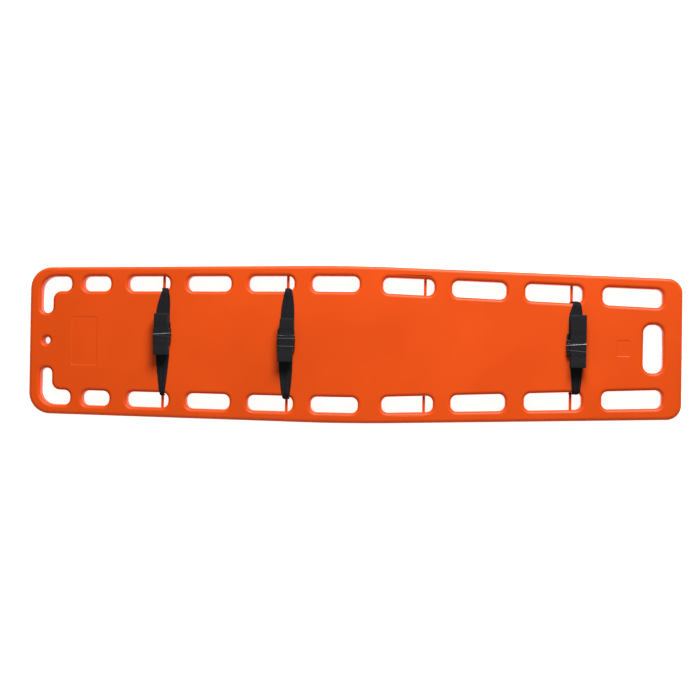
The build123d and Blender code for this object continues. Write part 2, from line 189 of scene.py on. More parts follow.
def rigid_foam(colour):
    """Poured rigid foam: pale, dull and full of small cells."""
    cell_size = 0.00286
    material, tree, shader = new_finish("rigid_foam", {"Roughness": 0.9, "IOR": 1.45})
    place = add_node(tree, "ShaderNodeTexCoord")
    cells = add_node(tree, "ShaderNodeTexVoronoi", {}, {
        "Vector": place.outputs["Object"], "Scale": 1 / cell_size})
    shade = add_node(tree, "ShaderNodeValToRGB", {}, {"Fac": cells.outputs["Distance"]})
    shade.color_ramp.elements[0].color = rgba(colour, 0.8)
    shade.color_ramp.elements[1].color = rgba(colour)
    tree.links.new(shade.outputs["Color"], shader.inputs["Base Color"])
    bump = add_node(tree, "ShaderNodeBump", {}, {
        "Height": cells.outputs["Distance"], "Strength": 0.5, "Distance": 0.0008})
    tree.links.new(bump.outputs["Normal"], shader.inputs["Normal"])
    return material


def moulded_acetal(name, colour, roughness):
    """Injection-moulded acetal: near black with a low even sheen from a spark-eroded mould."""
    # The real grain is finer: this is as coarse as it needs to be to show close up
    grain_size = 0.000714
    material, tree, shader = new_finish(name, {"Roughness": roughness, "IOR": 1.48})
    place = add_node(tree, "ShaderNodeTexCoord")
    grain = add_node(tree, "ShaderNodeTexNoise", {}, {
        "Vector": place.outputs["Object"], "Scale": 1 / grain_size, "Detail": 2.0})
    shade = add_node(tree, "ShaderNodeValToRGB", {}, {"Fac": grain.outputs["Fac"]})
    shade.color_ramp.elements[0].color = rgba(colour, 0.85)
    shade.color_ramp.elements[1].color = rgba(colour, 1.2)
    tree.links.new(shade.outputs["Color"], shader.inputs["Base Color"])
    bump = add_node(tree, "ShaderNodeBump", {}, {
        "Height": grain.outputs["Fac"], "Strength": 0.25, "Distance": 0.0002})
    tree.links.new(bump.outputs["Normal"], shader.inputs["Normal"])
    return material


def woven_polyester(colour):
    """Polyester webbing: black with fine ribs across it, a soft sheen on the crowns of the yarns that is
    partly the shader's and partly painted lighter, and painted shade between the yarns.
    """
    material, tree, shader = new_finish("woven_polyester_webbing", {
        "Roughness": 0.72, "IOR": 1.55, "Specular IOR Level": 0.25,
        "Sheen Weight": 0.04, "Sheen Roughness": 0.4})
    # From yarn to yarn, which the whole view is too far away to show
    warp_spacing, weft_spacing = 0.0016, 0.0013
    cloth = add_node(tree, "ShaderNodeUVMap", {"uv_map": "webbing"})
    axes = add_node(tree, "ShaderNodeSeparateXYZ", {}, {"Vector": cloth.outputs["UV"]})
    warp = add_node(tree, "ShaderNodeMath", {"operation": "MULTIPLY"}, {
        0: axes.outputs["X"], 1: math.pi / warp_spacing})
    weft = add_node(tree, "ShaderNodeMath", {"operation": "MULTIPLY"}, {
        0: axes.outputs["Y"], 1: math.pi / weft_spacing})
    across = add_node(tree, "ShaderNodeMath", {"operation": "SINE"}, {0: warp.outputs[0]})
    along = add_node(tree, "ShaderNodeMath", {"operation": "SINE"}, {0: weft.outputs[0]})
    crossing = add_node(tree, "ShaderNodeMath", {"operation": "MULTIPLY"}, {
        0: across.outputs[0], 1: along.outputs[0]})
    crown_and_sheen = add_node(tree, "ShaderNodeMath", {"operation": "ABSOLUTE"}, {0: crossing.outputs[0]})
    # Painted sheen and painted shade: each crown of a yarn is painted lighter and the grooves between yarns
    # darker, on the same pattern as the bump.
    shade = add_node(tree, "ShaderNodeValToRGB", {}, {"Fac": crown_and_sheen.outputs[0]})
    shade.color_ramp.elements[0].color = rgba(colour, 0.55)
    shade.color_ramp.elements[1].color = rgba(colour, 1.35)
    tree.links.new(shade.outputs["Color"], shader.inputs["Base Color"])
    bump = add_node(tree, "ShaderNodeBump", {}, {
        "Height": crown_and_sheen.outputs[0], "Strength": 0.6, "Distance": 0.0005})
    tree.links.new(bump.outputs["Normal"], shader.inputs["Normal"])
    return material


def clear_film(colour):
    """Clear stretch film: thin, glossy and see-through, with sharp creases where it is pulled, painted pale
    and less clear along each crease: a painted glint.
    """
    ripple_sizes = (0.0833, 0.00625, 0.0333)
    material, tree, shader = new_finish("clear_stretch_film", {"Roughness": 0.16, "IOR": 1.5})
    crease = add_node(tree, "ShaderNodeAttribute", {"attribute_name": "crease"})
    # Painted glints: along each crease the film's colour goes from near black to its full pale colour.
    shade = add_node(tree, "ShaderNodeValToRGB", {}, {"Fac": crease.outputs["Fac"]})
    shade.color_ramp.elements[0].color = rgba(colour, 0.04)
    shade.color_ramp.elements[1].color = rgba(colour)
    tree.links.new(shade.outputs["Color"], shader.inputs["Base Color"])
    # The film's faint haze, made much stronger along each crease so that the painted glint shows.
    haze_and_glint = add_node(tree, "ShaderNodeMapRange", {}, {
        "Value": crease.outputs["Fac"], "To Min": 0.07, "To Max": 0.4})
    tree.links.new(haze_and_glint.outputs["Result"], shader.inputs["Alpha"])
    place = add_node(tree, "ShaderNodeTexCoord")
    stretch = add_node(tree, "ShaderNodeMapping", {}, {
        "Vector": place.outputs["Object"], "Scale": tuple(1 / size for size in ripple_sizes)})
    ripples = add_node(tree, "ShaderNodeTexNoise", {}, {
        "Vector": stretch.outputs["Vector"], "Scale": 1.0, "Detail": 3.0})
    bump = add_node(tree, "ShaderNodeBump", {}, {
        "Height": ripples.outputs["Fac"], "Strength": 0.5, "Distance": 0.0008})
    tree.links.new(bump.outputs["Normal"], shader.inputs["Normal"])
    return material


# How far the floor reaches, how far it lies below the runners, and the light that it gives
floor_half_side, floor_drop, floor_glow = 12.0, 0.0003, 0.97


def seamless_floor(colour):
    """Matt painted studio floor: pale, with no pattern, and lit from within so that it stays white
    where the board shades it."""
    material, tree, shader = new_finish("matt_studio_floor", {"Roughness": 0.9, "IOR": 1.45})
    shader.inputs["Base Color"].default_value = rgba(colour)
    shader.inputs["Emission Color"].default_value = rgba(colour)
    shader.inputs["Emission Strength"].default_value = floor_glow
    return material


def finished_piece(name, bm, finish, body, slot, *nodes):
    """Makes a modelled mesh an object that rides on its body and stands for its nodes."""
    mesh = bpy.data.meshes.new(name)
    bm.to_mesh(mesh)
    bm.free()
    mesh.shade_smooth()
    mesh.materials.append(finish)
    piece = bpy.data.objects.new(name, mesh)
    bpy.context.scene.collection.objects.link(piece)
    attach(piece, body)
    if nodes:
        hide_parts(*nodes)
    return piece


def dress_node(node, finish):
    """Gives a node of the frame its finish."""
    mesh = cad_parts[node].data
    mesh.materials.clear()
    mesh.materials.append(finish)


def board_half_width(x):
    """Distance from the centre line to the side of the board."""
    sizes = bpy.context.scene.moulding_sizes
    if x < sizes.waist_station:
        return between(x, -half_length, sizes.head_half_width, sizes.waist_station, sizes.waist_half_width)
    return between(x, sizes.waist_station, sizes.waist_half_width, half_length, sizes.foot_half_width)


def slot_outer(x):
    """Distance from the centre line to the outer edge of the hand slots."""
    sizes = bpy.context.scene.moulding_sizes
    return board_half_width(x) - between(x, -half_length, sizes.rail_at_head, half_length, sizes.rail_at_foot)


def slot_inner(x):
    """Distance from the centre line to the inner edge of the hand slots."""
    sizes = bpy.context.scene.moulding_sizes
    if x < sizes.waist_station:
        width = between(x, -half_length, sizes.slot_at_head, sizes.waist_station, sizes.slot_at_waist)
    else:
        width = between(x, sizes.waist_station, sizes.slot_at_waist, half_length, sizes.slot_at_foot)
    return slot_outer(x) - width


# The row of hand slots: a wide centre bar, with slots that grow shorter towards the head end
# and longer towards the foot end
centre_bar = (0.01595, 0.08245)
head_slots, head_slot_length, head_slot_step, head_bar = 4, 0.134, 0.005, 0.050
short_slot_length = 0.078
foot_slots, foot_slot_length, foot_slot_step = 4, 0.1446, 0.0076
foot_bar, foot_bar_step = 0.0503, 0.0027

# The L-shaped openings, the slot across the foot end, the tether hole and the recesses
corner_start, corner_leg, corner_reach = 0.0316, 0.0334, 0.118
corner_leg_end = 0.0782
corner_leg_radius, corner_outer_radius, corner_inner_radius = 0.015, 0.040, 0.024
end_slot_rail, end_slot_width, end_slot_length, end_slot_radius = 0.053, 0.055, 0.135, 0.023
tether_setback, tether_radius = 0.0485, 0.010
label_setback, label_length, label_width, label_radius = 0.157, 0.074, 0.140, 0.006
plain_setback, plain_length, plain_width = 0.164, 0.040, 0.047
runner_length, runner_width, runner_spacing, runner_draft = 1.6, 0.036, 0.180, 30.0
runner_corner, runner_edge = 0.010, 0.0015
plug_clearance, plug_gap = 0.0002, 0.0001


def hand_slots():
    """Start and end station of each hand slot on one side, from the head end to the foot end."""
    slots, end, length = [], centre_bar[0], head_slot_length
    for _ in range(head_slots):
        slots.insert(0, (end - length, end))
        end -= length + head_bar
        length -= head_slot_step
    slots.insert(0, (end - short_slot_length, end))
    start, length, bar = centre_bar[1], foot_slot_length, foot_bar
    for _ in range(foot_slots):
        slots.append((start, start + length))
        start += length + bar
        length += foot_slot_step
        bar += foot_bar_step
    return slots


def rounded_outline(bm, corners, radii, height, steps=7):
    """Adds a flat face and rounds each corner to its radius with a vertex bevel."""
    verts = [bm.verts.new((x, y, height)) for x, y in corners]
    bm.faces.new(verts)
    setbacks = []
    for i, radius in enumerate(radii):
        before, after = verts[i - 1].co - verts[i].co, verts[(i + 1) % len(verts)].co - verts[i].co
        setbacks.append(radius / math.tan(before.angle(after) / 2))
    for vert, setback in zip(verts, setbacks):
        bmesh.ops.bevel(bm, geom=[vert], offset=setback, segments=steps, profile=0.5,
                        affect="VERTICES", material=-1)


def rectangle(x0, x1, half_width):
    """Corners of a rectangle that lies across the centre line."""
    return [(x0, -half_width), (x1, -half_width), (x1, half_width), (x0, half_width)]


def board_outlines(bm, height):
    """The outline of the board and of every opening through it, as flat faces."""
    sizes = bpy.context.scene.moulding_sizes
    head, foot, waist = sizes.head_half_width, sizes.foot_half_width, sizes.waist_half_width
    corners = [(-half_length, -head), (sizes.waist_station, -waist), (half_length, -foot)]
    corners += [(half_length, foot), (sizes.waist_station, waist), (-half_length, head)]
    turn = [sizes.head_corner, sizes.waist_blend, sizes.foot_corner]
    rounded_outline(bm, corners, turn + turn[::-1], height, 10)
    for side in (1, -1):
        for start, end in hand_slots():
            corners = [(start, slot_inner(start)), (end, slot_inner(end))]
            corners += [(end, slot_outer(end)), (start, slot_outer(start))]
            corners = [(x, side * y) for x, y in corners]
            rounded_outline(bm, corners, [sizes.slot_corner] * 4, height)
        start, end = -half_length + corner_start, -half_length + corner_reach
        leg = start + corner_leg
        corners = [(start, corner_leg_end), (leg, corner_leg_end), (leg, slot_inner(end))]
        corners += [(end, slot_inner(end)), (end, slot_outer(end)), (start, slot_outer(start))]
        radii = [corner_leg_radius, corner_leg_radius, corner_inner_radius]
        radii += [sizes.slot_corner, sizes.slot_corner, corner_outer_radius]
        rounded_outline(bm, [(x, side * y) for x, y in corners], radii, height)
    end = half_length - end_slot_rail
    corners = rectangle(end - end_slot_width, end, end_slot_length / 2)
    rounded_outline(bm, corners, [end_slot_radius] * 4, height)
    tether = -half_length + tether_setback
    corners = rectangle(tether - tether_radius, tether + tether_radius, tether_radius)
    # A hair less than the full radius, so that no two points of the round hole meet
    rounded_outline(bm, corners, [tether_radius * 0.999] * 4, height)


def fill_between(bm, edges):
    """Fills the flat region between an outline and what lies inside it."""
    made = bmesh.ops.triangle_fill(bm, edges=edges, use_beauty=True, use_dissolve=False)
    return [item for item in made["geom"] if isinstance(item, bmesh.types.BMFace)]


def moved(bm, faces, height):
    """Moves a flat region up or down."""
    verts = list({vert for face in faces for vert in face.verts})
    bmesh.ops.translate(bm, vec=(0, 0, height), verts=verts)


def draw_in(bm, faces, inset, height):
    """Insets a flat region evenly and moves it up or down."""
    bmesh.ops.inset_region(bm, faces=faces, thickness=inset, use_boundary=True, use_even_offset=True)
    moved(bm, faces, height)


def rounded_border(bm, faces, radius, upward, steps):
    """Rounds the border of a flat region along a quarter circle, with a narrow flat ring inside."""
    flat_ring = 0.0008
    for step in range(steps):
        start, end = (math.pi / 2 * (step + i) / steps for i in (0, 1))
        draw_in(bm, faces, radius * (math.cos(start) - math.cos(end)),
                upward * radius * (math.sin(end) - math.sin(start)))
    draw_in(bm, faces, flat_ring, 0.0)


def inner_face(bm, corners, radius, height):
    """A rounded face inside a flat region, to be raised or lowered."""
    known = set(bm.faces)
    rounded_outline(bm, corners, [radius] * len(corners), height, 5)
    return [face for face in bm.faces if face not in known]


def refill(bm, faces, make_inner):
    """Replaces a flat region by one that goes round the inner faces that make_inner adds."""
    region = {edge for face in faces for edge in face.edges}
    border = [edge for edge in region if sum(face in faces for face in edge.link_faces) == 1]
    inside = [edge for edge in region if edge not in set(border)]
    bmesh.ops.delete(bm, geom=faces, context="FACES_ONLY")
    bmesh.ops.delete(bm, geom=inside, context="EDGES")
    inner = make_inner()
    edges = border + [edge for group in inner for face in group for edge in face.edges]
    fill_between(bm, edges)
    return inner


def sunk_recess(bm, faces, depth):
    """A shallow recess with a soft step round it."""
    step_edge = 0.0003
    draw_in(bm, faces, step_edge, 0.0)
    for _ in range(2):
        draw_in(bm, faces, depth * 0.7, -depth * 0.5)
    draw_in(bm, faces, step_edge, 0.0)


def raised_runner(bm, faces, height):
    """A runner with sloping sides and a rounded lower edge."""
    root_ring = 0.0004
    draw_in(bm, faces, root_ring, 0.0)
    slope = height - runner_edge
    draw_in(bm, faces, slope * math.tan(math.radians(runner_draft)), -slope)
    rounded_border(bm, faces, runner_edge, -1, 3)


class SPINEBOARD_OT_moulding(bpy.types.Operator):
    """Model the hollow board with its rounded openings, recesses and runners"""

    bl_idname = "spine_board.moulding"
    bl_label = "Moulded board"

    def execute(self, context):
        sizes = context.scene.moulding_sizes
        lower_edge = sizes.underside + sizes.underside_rounding
        upper_edge = deck_height - sizes.deck_rounding
        bm = bmesh.new()
        board_outlines(bm, lower_edge)
        bmesh.ops.delete(bm, geom=bm.faces[:], context="FACES_ONLY")
        floor = fill_between(bm, bm.edges[:])
        deck = bmesh.ops.extrude_face_region(bm, geom=floor)["geom"]
        deck = [item for item in deck if isinstance(item, bmesh.types.BMFace)]
        moved(bm, deck, upper_edge - lower_edge)
        floor = [face for face in bm.faces if abs(face.calc_center_median().z - lower_edge) < 1e-6]
        bmesh.ops.recalc_face_normals(bm, faces=bm.faces[:])
        rounded_border(bm, deck, sizes.deck_rounding, 1, sizes.edge_steps)
        rounded_border(bm, floor, sizes.underside_rounding, -1, 4)
        label, plain = refill(bm, deck, lambda: self.recess_faces(bm))
        sunk_recess(bm, label, sizes.recess_depth)
        sunk_recess(bm, plain, sizes.recess_depth)
        upper, lower, hole = refill(bm, floor, lambda: self.underside_faces(bm, sizes.underside))
        raised_runner(bm, upper, sizes.underside)
        raised_runner(bm, lower, sizes.underside)
        plug_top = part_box("filling_plug")[1].z
        bmesh.ops.recalc_face_normals(bm, faces=bm.faces[:])
        draw_in(bm, hole, plug_gap, plug_top + plug_gap - sizes.underside)
        bmesh.ops.recalc_face_normals(bm, faces=bm.faces[:])
        finish = moulded_polyethylene(context.scene.finish_colours.board)
        finished_piece("moulded_board", bm, finish, "board", "board", "board_shell")
        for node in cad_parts:
            if node.startswith("pin_"):
                dress_node(node, finish)
        return {"FINISHED"}

    def recess_faces(self, bm):
        """The label recess near the head and the small plain one near the foot."""
        middle = -half_length + label_setback
        corners = rectangle(middle - label_length / 2, middle + label_length / 2, label_width / 2)
        label = inner_face(bm, corners, label_radius, deck_height)
        middle = half_length - plain_setback
        corners = rectangle(middle - plain_length / 2, middle + plain_length / 2, plain_width / 2)
        return label, inner_face(bm, corners, label_radius, deck_height)

    def underside_faces(self, bm, height):
        """The roots of the two runners and the mouth of the filling hole."""
        groups = []
        for side in (1, -1):
            inner, outer = (side * (runner_spacing + grow * runner_width) / 2 for grow in (-1, 1))
            ends = -runner_length / 2, runner_length / 2
            corners = [(ends[0], inner), (ends[1], inner), (ends[1], outer), (ends[0], outer)]
            groups.append(inner_face(bm, corners, runner_corner, height))
        low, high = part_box("filling_plug")
        middle, radius = (low + high) / 2, (high.x - low.x) / 2 + plug_clearance
        place = Matrix.Translation((middle.x, middle.y, height))
        known = set(bm.faces)
        bmesh.ops.create_circle(bm, cap_ends=True, radius=radius, segments=48, matrix=place)
        groups.append([face for face in bm.faces if face not in known])
        return groups


# How far the webbing reaches past its buckle bar and past the slot's wall in the frame
bar_loop_reach, neck_reach = 0.0050, 0.0064
bar_height_above_deck, loop_radius, loop_back = 0.0057, 0.0031, 0.0028
webbing_width, webbing_lift = 0.0385, 0.0004
pleats, pleat_height, flattest_pleat = 2.5, 0.0021, 0.55
row_spacing = 0.0016

# The share of its length that a half keeps flat from its free end, and how far past the edge of
# the deck its neck is drawn towards the pin, and by what share
flat_share, edge_drop, pin_pull = 0.2, 0.015, 0.6

# The bunched turns round a pin: how many fit beside each other, and the gaps and edges of each
most_turns, turn_gap, turn_step, turn_edge = 3, 0.0001, 0.0002, 0.0006
pin_clearance = 0.0004


class StrapHalf:
    """Where one half of a strap lies, from the frame, with its gathers as the photograph shows them."""

    def __init__(self, name, side, buckle_x, neck_x, neck_width, gather_start, fullness,
                 turns=most_turns):
        low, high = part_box(f"webbing_{name}_{side}")
        pin_low, pin_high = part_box(f"pin_{name}_{side}")
        self.name, self.side = name, side
        self.sign = 1 if side == "upper" else -1
        reach = sorted((self.sign * low.y, self.sign * high.y))
        self.bar = reach[0] + bar_loop_reach
        self.wall = reach[1] - neck_reach
        self.loop_low = low.z
        self.pin = (pin_low + pin_high) / 2
        self.pin_radius = (pin_high.z - pin_low.z) / 2
        self.buckle_x, self.neck_x, self.neck_width = buckle_x, neck_x, neck_width
        self.gather_start, self.fullness, self.turns = gather_start, fullness, turns


def strap_halves():
    """The six halves of the straps."""
    return [
        StrapHalf("chest", "upper", -0.5385, -0.5325, 0.0165, 0.078, 2.2),
        StrapHalf("chest", "lower", -0.5385, -0.5380, 0.0125, 0.036, 1.2, 2),
        StrapHalf("hip", "upper", -0.1850, -0.1830, 0.0180, 0.066, 2.2),
        StrapHalf("hip", "lower", -0.1885, -0.1868, 0.0200, 0.048, 1.8),
        StrapHalf("leg", "upper", 0.6230, 0.6260, 0.0185, 0.080, 1.8, 1),
        StrapHalf("leg", "lower", 0.6265, 0.6262, 0.0225, 0.040, 0.8, 1),
    ]


def smooth_path(points, spacing):
    """Evenly spaced points on a smooth curve through a few points."""
    ends = [points[0] * 2 - points[1]] + points + [points[-1] * 2 - points[-2]]
    path = [points[0]]
    for before, start, end, after in zip(ends, ends[1:], ends[2:], ends[3:]):
        steps = max(round((end - start).length / spacing), 1)
        for step in range(1, steps + 1):
            t = step / steps
            path.append((2 * start + (end - before) * t
                         + (2 * before - 5 * start + 4 * end - after) * t**2
                         + (3 * start - before - 3 * end + after) * t**3) / 2)
    return path


def run_lengths(path):
    """How far along the path each of its points is."""
    lengths = [0.0]
    for start, end in zip(path, path[1:]):
        lengths.append(lengths[-1] + (end - start).length)
    return lengths


def webbing_route(half, thickness):
    """Middle line of a strap half in its side view, from its free end round the bar to the pin."""
    rest = deck_height + webbing_lift + thickness / 2
    bar_z = deck_height + bar_height_above_deck
    # The upper half's free end rises to the folded tail, and the lower half's lies on itself
    if half.side == "upper":
        end = [(0.024, deck_height + 0.0142), (0.014, deck_height + 0.0122), (0.008, bar_z + 0.0050)]
    else:
        end = [(0.030, rest + thickness * 1.05), (0.018, rest + thickness * 1.3), (0.009, bar_z + 0.0008)]
    around = [(0.0015, bar_z + loop_radius)]
    around += [(-loop_back, bar_z + 0.0017), (-loop_back, bar_z - 0.0014)]
    around += [(0.0, bar_z - loop_radius - 0.0003), (0.007, rest + 0.0005)]
    points = [Vector((half.bar + y, z)) for y, z in end + around]
    rounding = bpy.context.scene.moulding_sizes.deck_rounding
    turn = half.wall - rounding
    flat_start, flat_steps = half.bar + 0.016, 6
    flat_run = [flat_start + (turn - flat_start) * i / flat_steps for i in range(flat_steps + 1)]
    points += [Vector((y, rest)) for y in flat_run]
    radius = rounding + webbing_lift + thickness / 2
    for degrees in (22.5, 45.0, 67.5, 90.0):
        angle = math.radians(degrees)
        over = deck_height - rounding + radius * math.cos(angle)
        points.append(Vector((turn + radius * math.sin(angle), over)))
    above_pin = half.pin.z + half.pin_radius + 0.001
    points.append(Vector((half.wall + webbing_lift + thickness / 2, above_pin)))
    return smooth_path(points, row_spacing)


def strip(bm, across, along, place):
    """A strip of webbing: a grid whose points and UV map come from place, a function of where a point
    is across the strip, from -1 to 1, and along it, from 0 to 1."""
    cloth = bm.loops.layers.uv.new("webbing")
    made = bmesh.ops.create_grid(bm, x_segments=across, y_segments=along, size=1.0)
    verts = made["verts"]
    faces = {face for vert in verts for face in vert.link_faces}
    spots = {vert: place(vert.co.x, (vert.co.y + 1) / 2) for vert in verts}
    for face in faces:
        for loop in face.loops:
            loop[cloth].uv = spots[loop.vert][1]
    for vert, (position, _) in spots.items():
        vert.co = position


def webbing_half(bm, half, thickness):
    """One half of a strap: flat at the buckle, then gathered into pleats that go over the edge."""
    route = webbing_route(half, thickness)
    lengths = run_lengths(route)
    wander = random.Random(half.name + half.side)
    phase = wander.uniform(0, 2 * math.pi)
    uneven = [wander.uniform(flattest_pleat, 1.0) for _ in range(5)]
    last = len(route) - 1

    def place(u, v):
        row = round(v * last)
        point = route[row]
        ahead, behind = route[min(row + 1, last)], route[max(row - 1, 0)]
        along = (ahead - behind).normalized()
        outward = Vector((-along.y, along.x))
        gather = 0.0
        if row > last * flat_share:
            gather = min(max((point.x - half.gather_start) / (half.wall - half.gather_start), 0.0), 1.0)
        past_edge = min(max((deck_height - point.y) / edge_drop, 0.0), 1.0)
        drawn = gather ** half.fullness
        width = webbing_width + (half.neck_width - webbing_width) * drawn
        middle = half.buckle_x + (half.neck_x - half.buckle_x) * ease(gather)
        middle += (half.pin.x - half.neck_x) * pin_pull * ease(past_edge)
        wave = math.cos(2 * math.pi * pleats * (u + 1) / 2 + phase)
        height = pleat_height * drawn * uneven[min(int((u + 1) * 2.5), 4)] * (1 + wave)
        spot = point + outward * height
        position = Vector((middle + u * width / 2, half.sign * spot.x, spot.y))
        return position, (u * webbing_width / 2, lengths[row])

    strip(bm, 30, last, place)


def pin_loop(bm, half):
    """The bunched turns of webbing round the pin: each a rounded section, spun once."""
    radius = half.pin_radius + pin_clearance
    outer = half.pin.z - half.loop_low
    turn_width = (neck_reach - webbing_lift * 2) / most_turns

    def section():
        return [face for face in bm.faces if all(
            abs(vert.co.x - half.pin.x) < 1e-7 for vert in face.verts)]

    for turn in range(half.turns):
        start = half.wall + webbing_lift + turn * turn_width + turn_gap
        end = start + turn_width - 2 * turn_gap
        top = outer - turn_step * (turn % 2)
        verts = [bm.verts.new((half.pin.x, half.sign * y, half.pin.z + z)) for y, z in (
            (start, radius), (end, radius), (end, top), (start, top))]
        bm.faces.new(verts)
        bmesh.ops.bevel(bm, geom=verts, offset=turn_edge, segments=3, profile=0.5,
                        affect="VERTICES", material=-1)
        bmesh.ops.spin(bm, geom=section(), cent=half.pin, axis=(0, 1, 0), angle=2 * math.pi, steps=36,
                       use_merge=True, use_duplicate=False)
        bmesh.ops.delete(bm, geom=section(), context="FACES_ONLY")


class SPINEBOARD_OT_webbing(bpy.types.Operator):
    """Model the six halves of webbing with their gathers and their loops round bar and pin"""

    bl_idname = "spine_board.webbing"
    bl_label = "Webbing"

    def execute(self, context):
        thickness = context.scene.strap_sizes.webbing_thickness
        finish = woven_polyester(context.scene.finish_colours.webbing)
        for half in strap_halves():
            bm = bmesh.new()
            webbing_half(bm, half, thickness)
            which, body = f"{half.name}_{half.side}", f"{half.name}_strap_{half.side}"
            piece = finished_piece(f"strap_{which}", bm, finish, body, "webbing", f"webbing_{which}")
            thicken(piece, thickness)
            bm = bmesh.new()
            pin_loop(bm, half)
            bmesh.ops.recalc_face_normals(bm, faces=bm.faces[:])
            finished_piece(f"pin_loop_{which}", bm, finish, body, "webbing")
        return {"FINISHED"}


def thicken(piece, thickness):
    """Gives a strip its thickness and soft edges."""
    wall = piece.modifiers.new("thickness", "SOLIDIFY")
    wall.thickness = thickness
    wall.offset = 0.0
    edge = piece.modifiers.new("soft_edge", "BEVEL")
    edge.width = thickness * 0.3
    edge.segments = 2
    edge.limit_method = "ANGLE"
    edge.angle_limit = math.radians(50)


# How flat the film presses a folded tail, how soon past the film it is full again, how far its
# layers lie to one side, and how much thicker its webbing is than where it is stretched
film_squeeze, squeeze_reach, layer_shift, slack_webbing = 0.93, 0.02, 0.0006, 1.15


class FoldedTail:
    """How one folded tail lies on its buckle: both ends' middle and width, as the photograph shows."""

    def __init__(self, name, upper_middle, upper_width, lower_middle, lower_width):
        self.name = name
        self.low, self.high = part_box(f"folded_tail_{name}")
        self.film_low, self.film_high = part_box(f"film_band_{name}")
        self.upper_middle, self.upper_width = upper_middle, upper_width
        self.lower_middle, self.lower_width = lower_middle, lower_width

    def share(self, y):
        """0 at the lower end and 1 at the upper end."""
        return (y - self.low.y) / (self.high.y - self.low.y)

    def middle(self, y):
        """The middle of the stack at a place along it."""
        return self.lower_middle + (self.upper_middle - self.lower_middle) * self.share(y)

    def width(self, y):
        """The width of the stack at a place along it."""
        return self.lower_width + (self.upper_width - self.lower_width) * self.share(y)

    def squeeze(self, y):
        """Height share of the stack: less under the film, more at the folds."""
        middle = (self.film_low.y + self.film_high.y) / 2
        half = (self.film_high.y - self.film_low.y) / 2
        return film_squeeze + (1 - film_squeeze) * ease((abs(y - middle) - half) / squeeze_reach)


def folded_tails():
    """The three folded tails."""
    return [
        FoldedTail("chest", -0.5395, 0.0380, -0.5385, 0.0425),
        FoldedTail("hip", -0.1850, 0.0380, -0.1890, 0.0420),
        FoldedTail("leg", 0.6300, 0.0430, 0.6295, 0.0425),
    ]


def folded_route(tail, pitch):
    """Middle line of the folded webbing: layers back and forth, each with a round fold at its end."""
    wander = random.Random(tail.name)
    top_gap, uneven, spans = 0.0003, 0.003, 8
    layers = int((tail.high.z - tail.low.z) / pitch)
    pitch = (tail.high.z - tail.low.z - top_gap) / layers
    points = []
    for layer in range(layers):
        z = tail.low.z + pitch * (layer + 0.5)
        ends = [tail.low.y + pitch + wander.uniform(0, uneven)]
        ends.append(tail.high.y - pitch - wander.uniform(0, uneven))
        if layer == layers - 1:
            ends = [tail.low.y + 0.0004, tail.high.y - pitch]
        if layer % 2:
            ends.reverse()
        outward = 1 if ends[1] > ends[0] else -1
        points += [Vector((ends[0] + (ends[1] - ends[0]) * i / spans, z)) for i in range(spans + 1)]
        if layer < layers - 1:
            for reach, rise in ((0.45, 0.15), (0.62, 0.5), (0.45, 0.85)):
                points.append(Vector((ends[1] + outward * pitch * reach, z + pitch * rise)))
    return smooth_path(points, 0.003)


class SPINEBOARD_OT_tails(bpy.types.Operator):
    """Model the folded tails of the webbing"""

    bl_idname = "spine_board.tails"
    bl_label = "Folded tails"

    def execute(self, context):
        sizes = context.scene.strap_sizes
        finish = bpy.data.materials["woven_polyester_webbing"]
        for tail in folded_tails():
            bm = bmesh.new()
            self.fold(bm, tail, sizes.tail_pitch)
            piece = finished_piece(f"tail_{tail.name}", bm, finish, f"{tail.name}_strap_upper", "tail",
                                   f"folded_tail_{tail.name}")
            thicken(piece, sizes.webbing_thickness * slack_webbing)
        return {"FINISHED"}

    def fold(self, bm, tail, pitch):
        """One long strip laid in layers, each a little to one side of the next."""
        route = folded_route(tail, pitch)
        lengths = run_lengths(route)
        wander = random.Random(tail.name + "layers")
        sideways = [wander.uniform(-layer_shift, layer_shift) for _ in range(12)]
        last = len(route) - 1

        def place(u, v):
            row = round(v * last)
            y, z = route[row]
            layer = (z - tail.low.z) / pitch
            shift = sideways[int(layer)] if layer > 0 else 0.0
            height = tail.low.z + (z - tail.low.z) * tail.squeeze(y)
            x = tail.middle(y) + shift + u * tail.width(y) / 2
            return Vector((x, y, height)), (u * tail.width(y) / 2, lengths[row])

        strip(bm, 10, last, place)


# The film's thickness, the rows of its mesh, the radii of its section at the deck, over the
# buckle and over the tail, how far it clears the tail, and its creases
film_thickness, film_rows = 0.00012, 80
film_foot, film_shoulder, film_top, film_clearance = 0.002, 0.006, 0.0015, 0.0004
crease_count, crease_height, crease_width = 4, 0.0007, 0.0008


